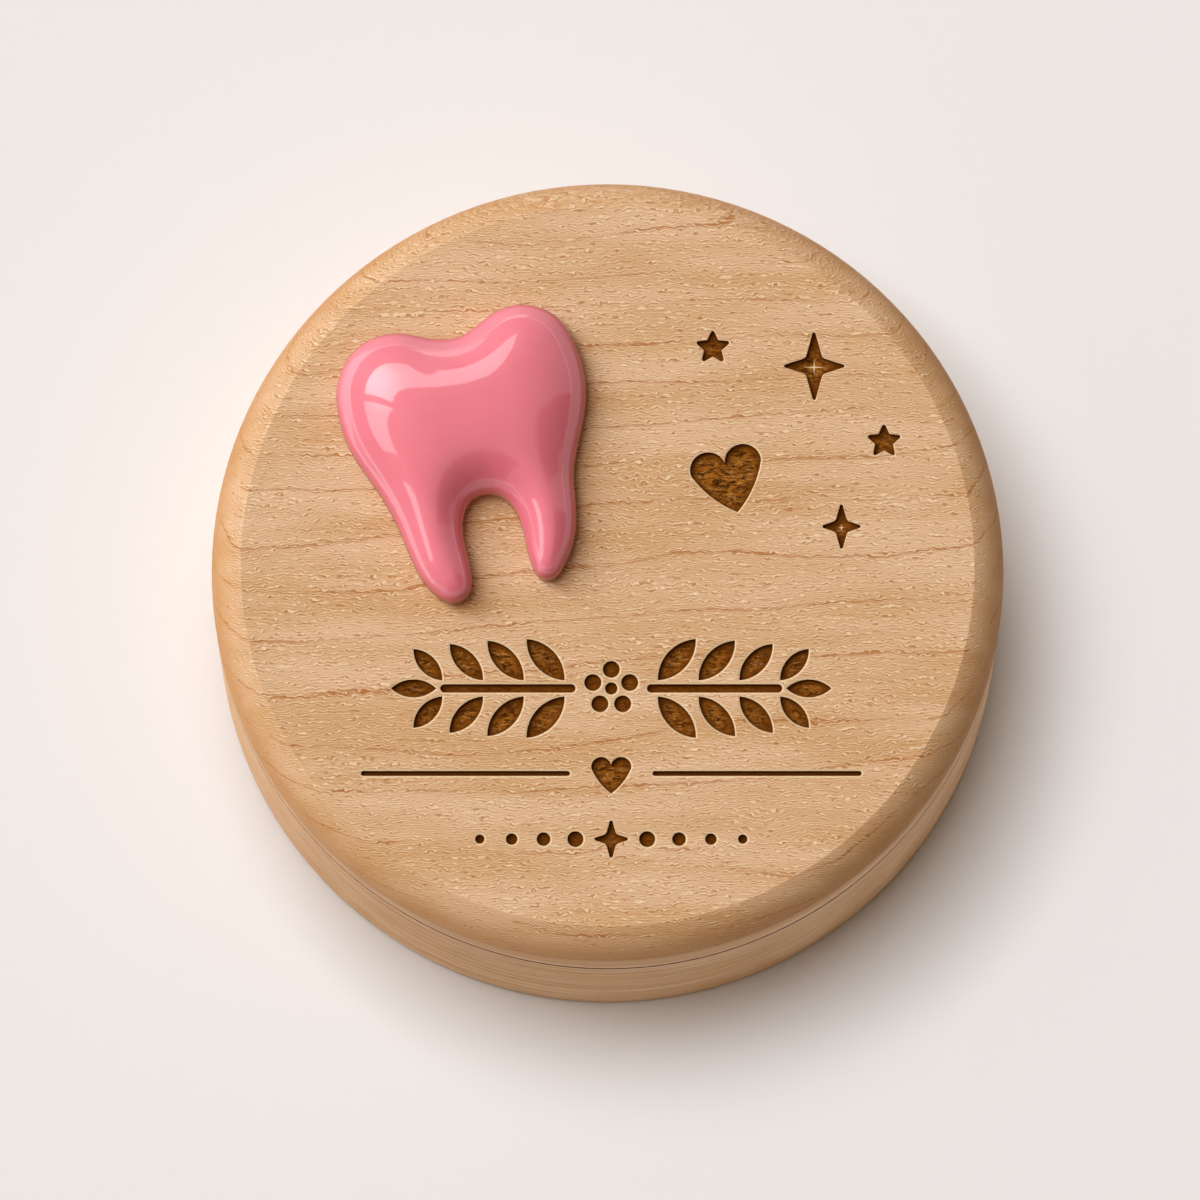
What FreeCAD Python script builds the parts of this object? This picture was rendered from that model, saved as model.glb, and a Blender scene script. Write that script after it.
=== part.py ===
import FreeCAD, Part
import math
import os

from FreeCAD import Placement, Rotation, Vector

# Round wooden keepsake box for milk teeth: a turned base cup, a lift-off lid centred by a
# collar and held by small magnets, felt linings, and a cast tooth glued on the engraved lid.
# Millimetres, +Z up. The origin is on the table under the middle of the box, and the lower
# edge of the lid's design faces -Y.

# Box
box_radius = 40.0
box_height = 30.0
lid_height = 7.8
lid_round_radius = 3.0
lid_round_fullness = 0.62
lid_seam_bevel = 0.2

# Base cup
base_wall = 7.0
base_floor = 4.0
base_seam_bevel = 0.35
base_foot_round = 1.2

# Collar between base and lid
collar_wall = 2.0
collar_rise = 2.6
collar_bevel = 0.5
glue_film = 0.05
lid_fit = 0.2
lid_head_gap = 0.5

# Felts
foot_felt_thickness = 1.2
foot_felt_proud = 0.4
foot_felt_margin = 6.0
floor_felt_thickness = 1.2
lid_felt_thickness = 1.0
felt_clearance = 0.4

# Magnets, in pairs that face each other across the seam
magnet_count = 4
first_magnet_angle = 45.0
magnet_radius = 2.0
magnet_thickness = 2.0
magnet_bevel = 0.2
magnet_fit = 0.05
magnet_sink = 0.1

# Engraving, cut straight down with a shallow bevel round each mouth
engrave_depth = 0.6
engrave_bevel_width = 0.2
engrave_bevel_depth = 0.06
cut_overrun = 0.3

# Hearts, as shares of a heart's width from the middle of its box: right half only
heart_notch_share = 0.245
heart_lobe_shares = (0.235, 0.456)
heart_side_shares = (0.5, 0.17)
heart_flank_shares = (0.293, -0.19)
heart_tip_share = -0.475
big_heart_width = 7.25
big_heart_tilt = 14.0
small_heart_width = 4.0

# Stars with five points and sparkles with four
star_radius = 2.0
star_points = 5
star_waist_share = 0.47
star_tip_round = 0.2
star_waist_round = 0.12
big_sparkle_height = 7.8
big_sparkle_width = 6.75
small_sparkle_height = 5.35
small_sparkle_width = 4.45
sparkle_waist_share = 0.108
sparkle_tip_round = 0.15
sparkle_waist_round = 0.5

# Divider: two lines with the small heart between them
divider_line_length = 21.0
divider_line_width = 0.5
divider_gap = 8.3
small_heart_drop = 0.15

# Sprig: a flower, and on each side of it a stem with pairs of leaves that shorten outwards
flower_petals = 5
petal_radius = 0.85
petal_circle = 1.95
flower_eye_radius = 0.62
stem_start = 3.6
stem_length = 13.6
stem_width = 0.85
leaf_length = 5.7
leaf_width = 2.3
leaf_tilt = 48.0
leaf_gap = 0.4
first_leaf = 4.7
leaf_pitch = 4.1
leaf_taper_shares = (1.0, 0.96, 0.88, 0.76)
end_leaf_share = 0.8

# Bead row: a small sparkle with beads on each side that shrink outwards
bead_sparkle_height = 4.6
bead_sparkle_width = 4.0
bead_radius = 0.8
first_bead = 3.6
bead_pitch = 3.2
bead_taper_shares = (1.0, 0.86, 0.72, 0.58)

# Places of the marks, as shares of the radius of the lid's flat face
star_place_shares = ((0.288, 0.605), (0.755, 0.343))
big_sparkle_place_shares = (0.565, 0.553)
small_sparkle_place_shares = (0.638, 0.106)
big_heart_place_shares = (0.332, 0.236)
divider_place_shares = (0.01, -0.578)
sprig_place_shares = (0.01, -0.343)
bead_row_place_shares = (0.01, -0.759)

# Tooth ornament: straight sides up to a low rim, and a swollen top above it
ornament_width = 25.2
ornament_length = 30.6
ornament_height = 5.6
ornament_rim = 2.1
ornament_place_shares = (-0.399, 0.3)
ornament_foot_round = 0.4
outline_spans = 8
swell_grid = 0.9
swell_step = 0.25
swell_power = 1.6
outline_tolerance = 0.01
adhesive_thickness = 0.3
adhesive_inset = 1.2

# Outline of the tooth from its left side, clockwise: crown, right root, arch, left root,
# as shares of its width and length from the middle of its box
tooth_outline_shares = (
    (-0.5, 0.176), (-0.484, 0.269), (-0.406, 0.361), (-0.263, 0.403), (-0.119, 0.385),
    (-0.001, 0.395), (0.125, 0.471), (0.243, 0.5), (0.37, 0.467), (0.459, 0.361),
    (0.5, 0.198), (0.472, 0.048), (0.451, -0.065), (0.461, -0.206), (0.442, -0.32),
    (0.412, -0.377), (0.368, -0.418), (0.319, -0.417), (0.284, -0.377), (0.26, -0.307),
    (0.228, -0.209), (0.172, -0.15), (0.101, -0.135), (0.038, -0.161), (0.008, -0.226),
    (0.019, -0.32), (0.043, -0.418), (0.027, -0.478), (-0.028, -0.5), (-0.099, -0.475),
    (-0.179, -0.389), (-0.244, -0.263), (-0.337, -0.122), (-0.445, 0.013),
)

# Heights and radii that follow from the sizes above
base_bottom = foot_felt_proud
seam_height = box_height - lid_height
cavity_floor = base_bottom + base_floor
cavity_radius = box_radius - base_wall
collar_outer = cavity_radius - glue_film
collar_inner = collar_outer - collar_wall
collar_top = seam_height + collar_rise
recess_radius = collar_outer + lid_fit
recess_roof = collar_top + lid_head_gap
felt_radius = collar_inner - felt_clearance
foot_felt_radius = box_radius - foot_felt_margin
magnet_circle = (recess_radius + box_radius) / 2
magnet_well = magnet_thickness + magnet_sink
face_radius = box_radius - lid_round_radius

axis = Vector(0, 0, 1)


def at(place, height, turn=0.0):
    """Placement at a point of the lid's plane, at a height and turned about Z."""
    return Placement(Vector(place[0], place[1], height), Rotation(axis, turn))


def on_face(shares):
    """Point of the lid's flat face from shares of its radius."""
    return (shares[0] * face_radius, shares[1] * face_radius)


def polar(radius, degrees):
    """Point at a radius and an angle from +X."""
    angle = math.radians(degrees)
    return Vector(radius * math.cos(angle), radius * math.sin(angle), 0)


def turned(edges):
    """Solid of revolution about Z from the edges of a half profile in the XZ plane."""
    return Part.Face(Part.Wire(edges)).revolve(Vector(), axis, 360)


def lines(points):
    """Straight edges through (radius, height) points of a half profile."""
    corners = [Vector(radius, 0, height) for radius, height in points]
    return [Part.makeLine(start, end) for start, end in zip(corners, corners[1:])]


def disc(radius, bottom, thickness):
    """Flat round solid about Z."""
    return Part.makeCylinder(radius, thickness, Vector(0, 0, bottom))


def magnet_places():
    """Middle of each magnet on its circle."""
    step = 360.0 / magnet_count
    return [polar(magnet_circle, first_magnet_angle + step * number) for number in range(magnet_count)]


def magnet_wells(bottom):
    """Round wells for the magnets, with their lower ends at a height."""
    radius = magnet_radius + magnet_fit
    return [
        Part.makeCylinder(radius, magnet_well + cut_overrun, place + Vector(0, 0, bottom))
        for place in magnet_places()
    ]


def magnet(place, bottom):
    """Disc magnet with bevelled edges."""
    blank = Part.makeCylinder(magnet_radius, magnet_thickness, place + Vector(0, 0, bottom))
    rims = [edge for edge in blank.Edges if edge.isClosed()]
    return blank.makeChamfer(magnet_bevel, rims)


def base_cup():
    """Turned cup with its cavity, the recess for the foot felt and the magnet wells."""
    felt_recess = base_bottom + foot_felt_thickness - foot_felt_proud
    edge = box_radius - base_foot_round
    middle = base_foot_round * math.sqrt(0.5)
    foot_arc = Part.Arc(
        Vector(edge, 0, base_bottom),
        Vector(edge + middle, 0, base_bottom + base_foot_round - middle),
        Vector(box_radius, 0, base_bottom + base_foot_round),
    )
    underside = lines([
        (0, cavity_floor),
        (0, felt_recess),
        (foot_felt_radius + felt_clearance, felt_recess),
        (foot_felt_radius + felt_clearance, base_bottom),
        (edge, base_bottom),
    ])
    inside = lines([
        (box_radius, base_bottom + base_foot_round),
        (box_radius, seam_height - base_seam_bevel),
        (box_radius - base_seam_bevel, seam_height),
        (cavity_radius, seam_height),
        (cavity_radius, cavity_floor),
        (0, cavity_floor),
    ])
    cup = turned(underside + [foot_arc.toShape()] + inside)
    return cup.cut(magnet_wells(seam_height - magnet_well))


def neck_collar():
    """Ring glued inside the cup; its top stands above the seam and is bevelled for the lid."""
    return turned(lines([
        (collar_inner, cavity_floor),
        (collar_outer, cavity_floor),
        (collar_outer, collar_top - collar_bevel),
        (collar_outer - collar_bevel, collar_top),
        (collar_inner + collar_bevel, collar_top),
        (collar_inner, collar_top - collar_bevel),
        (collar_inner, cavity_floor),
    ]))


def heart_outline(width):
    """Heart of four arcs, upright about the middle of its box."""
    def point(shares, side):
        return Vector(side * shares[0] * width, shares[1] * width, 0)

    notch = Vector(0, heart_notch_share * width, 0)
    tip = Vector(0, heart_tip_share * width, 0)
    edges = []
    for side in (1, -1):
        flank_end = point(heart_side_shares, side)
        lobe = Part.Arc(notch, point(heart_lobe_shares, side), flank_end)
        flank = Part.Arc(flank_end, point(heart_flank_shares, side), tip)
        edges += [lobe.toShape(), flank.toShape()]
    return Part.Wire(Part.sortEdges(edges)[0])


def rounded_corner(before, corner, after, radius):
    """Arc that rounds a corner between two straight edges, from the first edge to the second."""
    back = (before - corner).normalize()
    ahead = (after - corner).normalize()
    half_angle = back.getAngle(ahead) / 2
    inward = (back + ahead).normalize()
    trim = radius / math.tan(half_angle)
    middle = corner + inward * (radius / math.sin(half_angle) - radius)
    return Part.Arc(corner + back * trim, middle, corner + ahead * trim).toShape()


def rounded_outline(corners, radii):
    """Closed outline of straight edges with every corner rounded."""
    arcs = []
    for number, corner in enumerate(corners):
        after = corners[(number + 1) % len(corners)]
        arcs.append(rounded_corner(corners[number - 1], corner, after, radii[number % len(radii)]))
    edges = []
    for arc, following in zip(arcs, arcs[1:] + arcs[:1]):
        edges += [arc, Part.makeLine(arc.lastVertex().Point, following.firstVertex().Point)]
    return Part.Wire(edges)


def star_outline(radius):
    """Star with its first point towards +Y, its tips and waists rounded."""
    step = 180.0 / star_points
    corners = []
    for number in range(2 * star_points):
        reach = radius * star_waist_share if number % 2 else radius
        corners.append(polar(reach, 90.0 + step * number))
    return rounded_outline(corners, (star_tip_round, star_waist_round))


def sparkle_outline(height, width):
    """Upright four-pointed sparkle with straight edges and a narrow rounded waist."""
    waist = sparkle_waist_share * height
    corners = [
        Vector(0, height / 2, 0), Vector(waist, waist, 0),
        Vector(width / 2, 0, 0), Vector(waist, -waist, 0),
        Vector(0, -height / 2, 0), Vector(-waist, -waist, 0),
        Vector(-width / 2, 0, 0), Vector(-waist, waist, 0),
    ]
    return rounded_outline(corners, (sparkle_tip_round, sparkle_waist_round))


def slot_outline(length, width):
    """Straight line with round ends, along X."""
    reach = length / 2 - width / 2
    side = width / 2
    edges = [
        Part.makeLine(Vector(-reach, side, 0), Vector(reach, side, 0)),
        Part.Arc(Vector(reach, side, 0), Vector(length / 2, 0, 0), Vector(reach, -side, 0)).toShape(),
        Part.makeLine(Vector(reach, -side, 0), Vector(-reach, -side, 0)),
        Part.Arc(Vector(-reach, -side, 0), Vector(-length / 2, 0, 0), Vector(-reach, side, 0)).toShape(),
    ]
    return Part.Wire(edges)


def leaf_outline(length, width):
    """Pointed leaf of two arcs, along X."""
    stalk = Vector(-length / 2, 0, 0)
    tip = Vector(length / 2, 0, 0)
    upper = Part.Arc(stalk, Vector(0, width / 2, 0), tip)
    lower = Part.Arc(tip, Vector(0, -width / 2, 0), stalk)
    return Part.Wire([upper.toShape(), lower.toShape()])


def round_outline(radius):
    """Full circle."""
    return Part.Wire(Part.makeCircle(radius))


def engraved(outline, place, turn=0.0):
    """Cutter for one mark: a straight well and the bevel round its mouth.

    outline(grow) gives the mark's wire, larger by grow on each side.
    """
    well_wire = outline(0)
    well_wire.Placement = at(place, box_height - engrave_bevel_depth, turn)
    mouth_wire = outline(2 * engrave_bevel_width)
    mouth_wire.Placement = at(place, box_height + engrave_bevel_depth, turn)
    well = Part.Face(well_wire).extrude(Vector(0, 0, engrave_bevel_depth - engrave_depth))
    bevel = Part.makeLoft([well_wire, mouth_wire], True, True)
    return [well, bevel]


def heart_mark(width, place, turn=0.0):
    """Cutters of a heart."""
    return engraved(lambda grow: heart_outline(width + 2 * grow), place, turn)


def star_mark(place):
    """Cutters of a star."""
    return engraved(lambda grow: star_outline(star_radius + grow), place)


def sparkle_mark(height, width, place):
    """Cutters of a sparkle."""
    return engraved(lambda grow: sparkle_outline(height + 2 * grow, width + 2 * grow), place)


def line_mark(length, width, place):
    """Cutters of a line along X."""
    return engraved(lambda grow: slot_outline(length + 2 * grow, width + 2 * grow), place)


def leaf_mark(length, width, place, turn):
    """Cutters of a leaf, turned from +X."""
    return engraved(lambda grow: leaf_outline(length + 2 * grow, width + 2 * grow), place, turn)


def round_mark(radius, place):
    """Cutters of a dot."""
    return engraved(lambda grow: round_outline(radius + grow), place)


def divider_marks():
    """Small heart with a line on each side."""
    x, y = on_face(divider_place_shares)
    reach = divider_gap / 2 + divider_line_length / 2
    cutters = heart_mark(small_heart_width, (x, y - small_heart_drop))
    for side in (1, -1):
        cutters += line_mark(divider_line_length, divider_line_width, (x + side * reach, y))
    return cutters


def flower_marks(x, y):
    """Ring of petals round an eye."""
    cutters = round_mark(flower_eye_radius, (x, y))
    for number in range(flower_petals):
        petal = polar(petal_circle, 90.0 + 360.0 / flower_petals * number)
        cutters += round_mark(petal_radius, (x + petal.x, y + petal.y))
    return cutters


def branch_marks(x, y, side):
    """Stem on one side of the flower, its pairs of leaves and the leaf at its end."""
    cutters = line_mark(stem_length, stem_width, (x + side * (stem_start + stem_length / 2), y))
    stalk_offset = stem_width / 2 + leaf_gap
    for number, share in enumerate(leaf_taper_shares):
        length = leaf_length * share
        middle = polar(length / 2, leaf_tilt)
        leaf_x = x + side * (first_leaf + leaf_pitch * number + middle.x)
        for up in (1, -1):
            leaf_y = y + up * (stalk_offset + middle.y)
            cutters += leaf_mark(length, leaf_width * share, (leaf_x, leaf_y), side * up * leaf_tilt)
    end_length = leaf_length * end_leaf_share
    end_x = stem_start + stem_length + leaf_gap + end_length / 2
    cutters += leaf_mark(end_length, leaf_width * end_leaf_share, (x + side * end_x, y), 0.0)
    return cutters


def sprig_marks():
    """Mirrored sprig across the lid."""
    x, y = on_face(sprig_place_shares)
    return flower_marks(x, y) + branch_marks(x, y, 1) + branch_marks(x, y, -1)


def bead_row_marks():
    """Small sparkle with a row of beads on each side."""
    x, y = on_face(bead_row_place_shares)
    cutters = sparkle_mark(bead_sparkle_height, bead_sparkle_width, (x, y))
    for number, share in enumerate(bead_taper_shares):
        reach = first_bead + bead_pitch * number
        for side in (1, -1):
            cutters += round_mark(bead_radius * share, (x + side * reach, y))
    return cutters


def scattered_marks():
    """Stars, sparkles and the tilted heart beside the ornament."""
    cutters = heart_mark(big_heart_width, on_face(big_heart_place_shares), big_heart_tilt)
    for shares in star_place_shares:
        cutters += star_mark(on_face(shares))
    cutters += sparkle_mark(big_sparkle_height, big_sparkle_width, on_face(big_sparkle_place_shares))
    cutters += sparkle_mark(small_sparkle_height, small_sparkle_width, on_face(small_sparkle_place_shares))
    return cutters


def lid_panel():
    """Turned lid with its round-over, the recess for the collar, magnet wells and engraving."""
    shoulder = box_height - lid_round_radius
    middle = lid_round_radius * lid_round_fullness
    round_over = Part.Arc(
        Vector(box_radius, 0, shoulder),
        Vector(face_radius + middle, 0, shoulder + middle),
        Vector(face_radius, 0, box_height),
    )
    rim = lines([
        (0, recess_roof),
        (recess_radius, recess_roof),
        (recess_radius, seam_height),
        (box_radius - lid_seam_bevel, seam_height),
        (box_radius, seam_height + lid_seam_bevel),
        (box_radius, shoulder),
    ])
    top = lines([(face_radius, box_height), (0, box_height), (0, recess_roof)])
    blank = turned(rim + [round_over.toShape()] + top)
    wells = magnet_wells(seam_height - cut_overrun)
    return blank.cut(wells + scattered_marks() + sprig_marks() + divider_marks() + bead_row_marks())


def tooth_outline(inset, height):
    """Closed smooth outline of the tooth, moved inwards by inset, at a height, in even spans."""
    x, y = on_face(ornament_place_shares)
    corners = [
        Vector(x + across * ornament_width, y + along * ornament_length, height)
        for across, along in tooth_outline_shares
    ]
    moved = []
    for number, corner in enumerate(corners):
        run = corners[(number + 1) % len(corners)] - corners[number - 1]
        inward = Vector(run.y, -run.x, 0).normalize()
        moved.append(corner + inward * inset)
    curve = Part.BSplineCurve()
    curve.interpolate(moved, PeriodicFlag=True)
    start = curve.FirstParameter
    step = (curve.LastParameter - start) / outline_spans
    return Part.Wire([
        curve.toShape(start + step * number, start + step * (number + 1)) for number in range(outline_spans)
    ])


def swell_depth(point, rim_points):
    """How deep a point lies inside the outline, smooth over the middle of the shape.

    Beside a long straight edge it is the plain distance from that edge.
    """
    pull = sum(swell_step / point.distanceToPoint(rim_point) ** 3 for rim_point in rim_points)
    return math.sqrt(2 / pull)


def swollen_top(outline, bottom):
    """Surface over the tooth that rises from the rim at its outline to its full height."""
    box = outline.BoundBox
    columns = math.ceil(box.XLength / swell_grid) + 1
    rows = math.ceil(box.YLength / swell_grid) + 1
    left = box.Center.x - swell_grid * columns / 2
    front = box.Center.y - swell_grid * rows / 2
    points = [
        [Vector(left + swell_grid * i, front + swell_grid * j, bottom) for j in range(rows + 1)]
        for i in range(columns + 1)
    ]
    face = Part.Face(outline)
    rim_points = outline.discretize(Distance=swell_step)
    depths = []
    for line in points:
        for point in line:
            side = 1 if face.isInside(point, outline_tolerance, True) else -1
            depths.append((point, side * swell_depth(point, rim_points)))
    deepest = max(depth for _, depth in depths)
    rise = ornament_height - ornament_rim
    for point, depth in depths:
        point.z += ornament_rim + rise * (1 - (1 - depth / deepest) ** swell_power)
    surface = Part.BSplineSurface()
    surface.interpolate(points)
    return surface.toShape()


def tooth_ornament():
    """Cast tooth with straight sides, a rounded foot and a swollen top."""
    bottom = box_height + adhesive_thickness
    outline = tooth_outline(0, bottom)
    column = Part.Face(outline).extrude(Vector(0, 0, 2 * ornament_height))
    foot = [edge for edge in column.Edges if edge.BoundBox.ZMax < bottom + ornament_rim]
    column = column.makeFillet(ornament_foot_round, foot)
    under_top = swollen_top(outline, bottom).extrude(Vector(0, 0, -2 * ornament_height))
    return column.common(under_top)


def ornament_adhesive():
    """Thin pad between the lid and the tooth."""
    outline = tooth_outline(adhesive_inset, box_height)
    return Part.Face(outline).extrude(Vector(0, 0, adhesive_thickness))


def all_pieces():
    """Every piece by the name of its file."""
    pieces = {
        "base_cup": base_cup(),
        "neck_collar": neck_collar(),
        "floor_felt": disc(felt_radius, cavity_floor, floor_felt_thickness),
        "foot_felt": disc(foot_felt_radius, base_bottom - foot_felt_proud, foot_felt_thickness),
        "lid_panel": lid_panel(),
        "lid_felt": disc(felt_radius, recess_roof - lid_felt_thickness, lid_felt_thickness),
        "tooth_ornament": tooth_ornament(),
        "ornament_adhesive": ornament_adhesive(),
    }
    for number, place in enumerate(magnet_places(), start=1):
        pieces["base_magnet_%d" % number] = magnet(place, seam_height - magnet_well)
        pieces["lid_magnet_%d" % number] = magnet(place, seam_height + magnet_sink)
    return pieces


os.makedirs("parts", exist_ok=True)
for name, shape in all_pieces().items():
    shape.exportStep("parts/%s.step" % name)
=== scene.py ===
import math

import bmesh
import bpy
import numpy as np
from bpy.props import FloatProperty, FloatVectorProperty, PointerProperty
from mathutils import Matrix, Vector, noise
from mathutils.geometry import delaunay_2d_cdt


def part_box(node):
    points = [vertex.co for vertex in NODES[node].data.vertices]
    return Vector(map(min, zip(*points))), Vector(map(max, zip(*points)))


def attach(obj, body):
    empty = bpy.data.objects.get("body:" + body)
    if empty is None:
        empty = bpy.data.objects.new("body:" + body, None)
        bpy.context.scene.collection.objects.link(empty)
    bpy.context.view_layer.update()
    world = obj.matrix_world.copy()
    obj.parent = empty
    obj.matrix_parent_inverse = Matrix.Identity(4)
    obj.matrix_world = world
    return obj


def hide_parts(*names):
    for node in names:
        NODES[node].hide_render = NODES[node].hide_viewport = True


bl_info = {
    "name": "Tooth Keepsake Box",
    "version": (1, 0, 0),
    "blender": (4, 5, 0),
    "location": "3D View > Sidebar > Tooth Box",
    "description": "Finishes the pieces of a round wooden keepsake box for milk teeth and sets its stage",
    "category": "Object",
}

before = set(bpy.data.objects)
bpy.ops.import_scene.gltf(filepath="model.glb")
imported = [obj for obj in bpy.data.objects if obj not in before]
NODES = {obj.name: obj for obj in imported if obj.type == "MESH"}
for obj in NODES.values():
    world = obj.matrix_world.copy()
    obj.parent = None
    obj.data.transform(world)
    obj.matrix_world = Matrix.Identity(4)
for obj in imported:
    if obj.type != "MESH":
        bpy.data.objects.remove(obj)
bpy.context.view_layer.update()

MM = 0.001
MAGNETS = [name for name in sorted(NODES) if "magnet" in name]
LID_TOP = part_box("lid_panel")[1].z
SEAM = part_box("lid_panel")[0].z
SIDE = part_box("base_cup")[1].x
# Line of the pith, along X, below the box and in front of it: the growth rings run round it
PITH = (0, -60 * MM, -62 * MM)
# Size of each pattern's features along X, Y and Z
SWAY = (9 * MM, 5 * MM, 5 * MM)
WANDER = (0.9 * MM, 0.6 * MM, 0.6 * MM)
RING_WAVES = (45 * MM, 14 * MM, 14 * MM)
RING_GAPS = (12 * MM, 2.6 * MM, 2.6 * MM)
WARM_STREAKS = (22 * MM, 3.2 * MM, 3.2 * MM)
SIDE_STREAKS = (26 * MM, 26 * MM, 0.5 * MM)
BURNT_STREAKS = (0.9 * MM, 0.35 * MM, 0.5 * MM)
BURNT_SPECKS = (0.7 * MM, 0.22 * MM, 0.4 * MM)
RESIN_CLOUDS = (3 * MM,) * 3
POLISH_WAVES = (1.6 * MM,) * 3
BUBBLES = (0.6 * MM,) * 3
DULL_SPOTS = (0.7 * MM,) * 3
BOARD_GRIT = (1.5 * MM,) * 3
# Distance between the waves of the felt's nap
NAP_WAVES = 2.2 * MM
# Middle and reach of the painted highlight cross in each sparkle of the lid
GLINTS = (
    ((20.9 * MM, 20.46 * MM), (1.35 * MM, 0.9 * MM)),
    ((23.6 * MM, 3.92 * MM), (0.4 * MM, 0.4 * MM)),
)
# Two lower and two upper corners of each sheet that shows in gloss, as azimuth and elevation in degrees
MIRRORED_SHEETS = {
    "window_pane_back": (((95, 35), (164, 35)), ((99, 63), (152, 63))),
    "window_pane_side": (((171, 33), (199.6, 33)), ((160, 64), (198.6, 46))),
    "pale_wall": (((85, 0), (215, 0)), ((85, 10), (215, 10))),
    "dark_card": (((240, 19), (372, 19)), ((240, 58), (372, 58))),
}
SHEET_COLUMNS = 25


def hex_colour(code):
    """Linear red, green and blue of an sRGB hex value."""
    shares = [int(code[start:start + 2], 16) / 255 for start in (0, 2, 4)]
    return tuple(s / 12.92 if s <= 0.04045 else ((s + 0.055) / 1.055) ** 2.4 for s in shares)


def colour_property(name, description, code):
    """Colour setting with an sRGB hex value as its default."""
    return FloatVectorProperty(
        name=name, description=description, subtype="COLOR", size=3, min=0, max=1, default=hex_colour(code)
    )


def length_property(name, description, millimetres):
    """Length setting, given in millimetres and held in metres."""
    return FloatProperty(
        name=name, description=description, unit="LENGTH", precision=5, default=millimetres * MM
    )


def angle_property(name, description, degrees):
    """Angle setting, given in degrees and held in radians."""
    return FloatProperty(name=name, description=description, subtype="ANGLE", default=math.radians(degrees))


def number_property(name, description, number):
    """Setting without a unit, such as a brightness."""
    return FloatProperty(name=name, description=description, default=number)


class WoodLook(bpy.types.PropertyGroup):
    """Colours and grain sizes of the turned wood."""
    pale: colour_property("Pale wood", "Colour of the wood between its growth rings", "E3BA92")
    warm: colour_property("Warm wood", "Colour of the broad warmer streaks", "D0A06D")
    ring: colour_property("Ring line", "Colour of the line that ends each growth ring", "B06C2C")
    fleck: colour_property("Fleck", "Colour of the short dark flecks", "A0622A")
    furrow: colour_property("Furrow", "Colour between the raised fibres", "B0702C")
    fibre: colour_property("Fibre", "Colour of the raised fibres", "F5DDB9")
    end_grain: colour_property("End grain", "Colour where the fibres end in the surface", "DDA665")
    # Colour of the painted shade on the lid's rounded edge
    painted_edge_shade: colour_property("Rubbed edge", "Colour of the rounded edge, which takes more oil", "BE8244")
    # Colour of the painted shadow in the seam's gap
    seam: colour_property("Seam", "Colour of the dark line in the seam", "8A4612")
    ring_spacing: length_property("Ring spacing", "Width of one growth ring", 2.7)
    fibre_spacing: length_property("Fibre spacing", "Distance between raised fibres across the grain", 0.3)
    fibre_length: length_property("Fibre length", "Length of a raised fibre along the grain", 1.3)
    fleck_length: length_property("Fleck length", "Length of a fleck along the grain", 0.55)
    fleck_width: length_property("Fleck width", "Width of a fleck across the grain", 0.16)
    relief: length_property("Relief", "Height of the raised fibres", 0.012)
    edge_radius: length_property("Edge radius", "Radius at which the rounded edge starts", 37.0)
    edge_low: length_property("Edge low", "Height at which the rounded edge ends", 25.3)
    lean: angle_property("Lean", "How far the growth rings turn from X", -3.5)


class EngravingLook(bpy.types.PropertyGroup):
    """Colours and heights of the burnt engraving."""
    floor: colour_property("Burnt floor", "Colour of the engraved floor", "A2621E")
    dark: colour_property("Dark streaks", "Colour of the darker streaks of the floor", "40220A")
    light: colour_property("Light streaks", "Colour of the paler streaks of the floor", "D09A58")
    char: colour_property("Char", "Colour of the charred walls", "6A3608")
    # Pale colour of the bevel: cut wood that also stands for a painted highlight round each mark
    fresh_wood_and_highlight: colour_property("Fresh edge", "Colour of the bevel round each mark", "EFD3A6")
    depth: length_property("Depth", "Depth of the engraving", 0.6)
    bevel: length_property("Bevel", "Height of the bevel round each mark", 0.06)
    reach: length_property("Reach", "Radius inside which the marks lie", 36.5)
    # The sparkles' crosses are painted highlights
    glint_width: length_property("Glint width", "Half width of the unburnt crosses in the sparkles", 0.1)


class ToothLook(bpy.types.PropertyGroup):
    """Colour and shape of the cast tooth."""
    pink: colour_property("Resin", "Colour of the cast resin", "F27B8A")
    deep: colour_property("Deep resin", "Colour of the faint clouds in the casting", "EB7282")
    # Band and ridge line are paler pink: a slight painted sheen and a painted highlight line
    band: colour_property("Band", "Colour of the thin band along the outline", "F07E8D")
    line: colour_property("Ridge line", "Colour of the fine ridge along the band", "F28A98")
    rim: length_property("Rim", "Height of the swollen top at the outline", 2.1)
    shoulder: length_property("Shoulder", "Width of the band round the crown", 1.75)
    tip_shoulder: length_property("Tip shoulder", "Width of the band round the tips of the roots", 0.65)
    edge: length_property("Edge", "Radius of the rounded edge", 0.6)
    bead: length_property("Bead", "Height of the fine ridge along the band", 0.03)
    bead_width: length_property("Bead width", "Half width of the fine ridge", 0.11)
    foot: length_property("Foot", "Radius of the rounded foot", 0.4)
    spacing: length_property("Mesh spacing", "Distance between points of the mesh", 0.3)
    power: number_property("Swell", "How quickly the top swells from its rim", 1.6)


class FeltLook(bpy.types.PropertyGroup):
    """Colours and nap of the felts."""
    lining: colour_property("Lining", "Colour of the lining felts", "E6D9C6")
    foot: colour_property("Foot", "Colour of the felt under the box", "6B4B33")
    nap: length_property("Nap", "Height of the uneven nap", 0.09)
    edge: length_property("Edge", "Radius of the soft edge", 0.35)
    fibre: length_property("Fibre", "Width of the drawn fibres", 0.16)


class MetalLook(bpy.types.PropertyGroup):
    """Plating of the magnets, and the adhesive."""
    nickel: colour_property("Nickel", "Colour of the bright plating", "D9D6CF")
    scratch: length_property("Scratches", "Distance between polishing scratches", 0.12)
    adhesive: colour_property("Adhesive", "Colour of the set adhesive", "E3DACB")


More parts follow.
